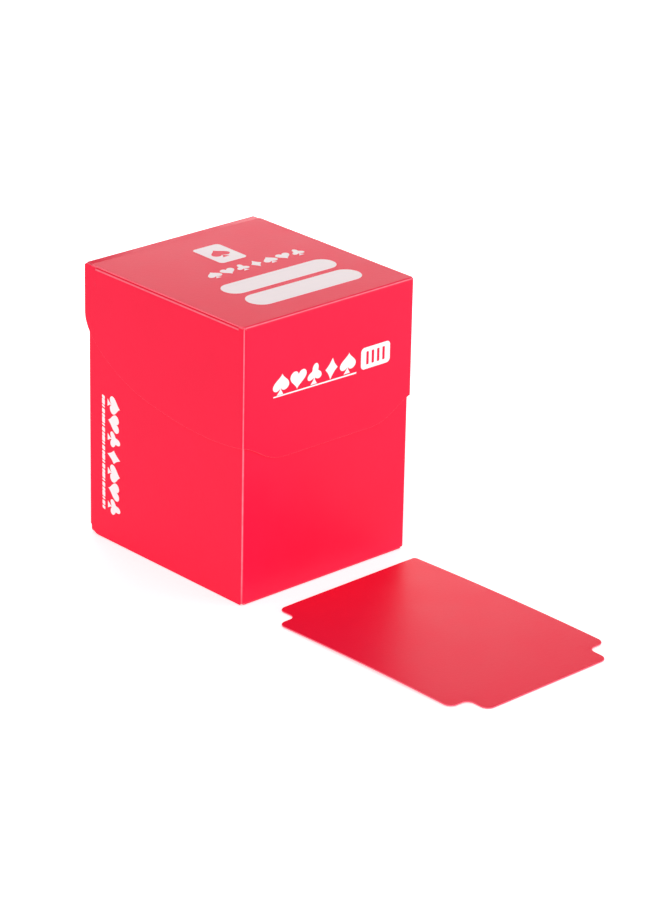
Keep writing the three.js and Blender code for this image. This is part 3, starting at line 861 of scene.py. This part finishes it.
inking = node(row, "GeometryNodeSetMaterial", [
    ("Geometry", whole.outputs[0]), ("Material", inp.outputs["Ink"])])
row.links.new(inking.outputs[0], out.inputs[0])


def shape_set(name, outlines):
    made = []
    for number, outline in enumerate(outlines):
        mark = bpy.data.objects.new(f"{name}_{number}", flat_print(f"{name}_{number}", [outline]))
        bpy.context.scene.collection.objects.link(mark)
        made.append(mark)
    return made


def mark_row(name, count, pitch, size, shapes):
    carrier = bpy.data.objects.new(name, bpy.data.meshes.new(name))
    bpy.context.scene.collection.objects.link(carrier)
    modifier = carrier.modifiers.new("row_of_marks", "NODES")
    modifier.node_group = row
    settings = {"Count": count, "Pitch": pitch, "Size": size, "Ink": white_ink}
    settings.update(zip(("First Shape", "Second Shape", "Third Shape", "Fourth Shape"), shapes))
    for socket, value in settings.items():
        modifier[sockets[socket]] = value
    made = bpy.data.meshes.new_from_object(carrier.evaluated_get(bpy.context.evaluated_depsgraph_get()))
    bpy.data.objects.remove(carrier)
    return made


def leaning(outline, slant):
    return [(x + slant * y, y) for x, y in outline]


suit_lean, bar_lean = 0.14, 0.25
suits = shape_set("suit", [leaning(shape(), suit_lean) for shape in (
    spade_outline, heart_outline, club_outline, diamond_outline)])
bars = shape_set("bar", [rounded_outline(width, 0.9, 0.2, bar_lean, steps=3)
                         for width in (0.7, 1.3, 0.45, 1.0)])

# ---- Prints on the lid's top ----
# Two writing panels, a small card emblem and a row of suits, all read from the front.
print_turn = math.radians(-1.1)
top_face = (face_at((0, 0, top_high.z - ink_height), (1, 0, 0), (0, 1, 0))
            @ Matrix.Rotation(print_turn, 4, "Z"))
for number, (x, y, deep) in enumerate(((0.0035, -0.0114, 9.6), (0.0034, -0.0241, 10.5))):
    lay_print(f"writing_panel_{number + 1}",
              flat_print("writing_panel", [rounded_outline(47.2, deep, deep / 2 - 0.01)]),
              top_face @ Matrix.Translation((x, y, 0)), "lid")
lay_print("top_suit_row", mark_row("top_suit_row", 7, 0.006, 5.6, suits),
          top_face @ Matrix.Translation((0.0055, 0.0026, 0)), "lid")
emblem = [rounded_outline(11.5, 16, 1.6, centre=(-2.0, -1.5)),
          [(7.2 * x - 2.0, 7.2 * y - 1.5) for x, y in spade_outline()]]
lay_print("card_emblem", flat_print("card_emblem", emblem),
          top_face @ Matrix.Translation((0.0042, 0.0192, 0)), "lid")

# ---- Prints on the lid's front ----
# A row of suits over a fine line, and beside it a plain rounded plate with four bars left open.
front_face = face_at((0, lid_front, 0), (1, 0, 0), (0, 0, 1))
lay_print("front_suit_row", mark_row("front_suit_row", 5, 0.0073, 7.0, suits),
          front_face @ Matrix.Translation((-0.0065, 0.0748, 0)), "lid")
plate = [rounded_outline(13.0, 7.6, 1.5, centre=(20.4, 74.6))]
for x in (16.8, 19.2, 21.6, 24.0):
    plate.append(rounded_outline(1.1, 4.6, 0.3, centre=(x, 74.6), steps=3))
lay_print("front_plate", flat_print("front_plate", plate), front_face, "lid")
underline = [(-24.4, 70.75), (11.8, 70.25), (11.95, 70.8), (-24.4, 71.2)]
lay_print("front_line", flat_print("front_line", [underline]), front_face, "lid")

# ---- Prints on the left side ----
# A column of suits beside a fine line of short bars, read from top to bottom.
left_face = face_at((-half_width, 0, 0), (0, 0, -1), (0, -1, 0))
lay_print("side_suit_column", mark_row("side_suit_column", 7, 0.0062, 6.4, suits),
          left_face @ Matrix.Translation((-0.0318, -0.0260, 0)), "body")
lay_print("side_bar_line", mark_row("side_bar_line", 25, 0.00168, 1.6, bars),
          left_face @ Matrix.Translation((-0.0320, -0.0314, 0)), "body")
for source in suits + bars:
    bpy.data.objects.remove(source)
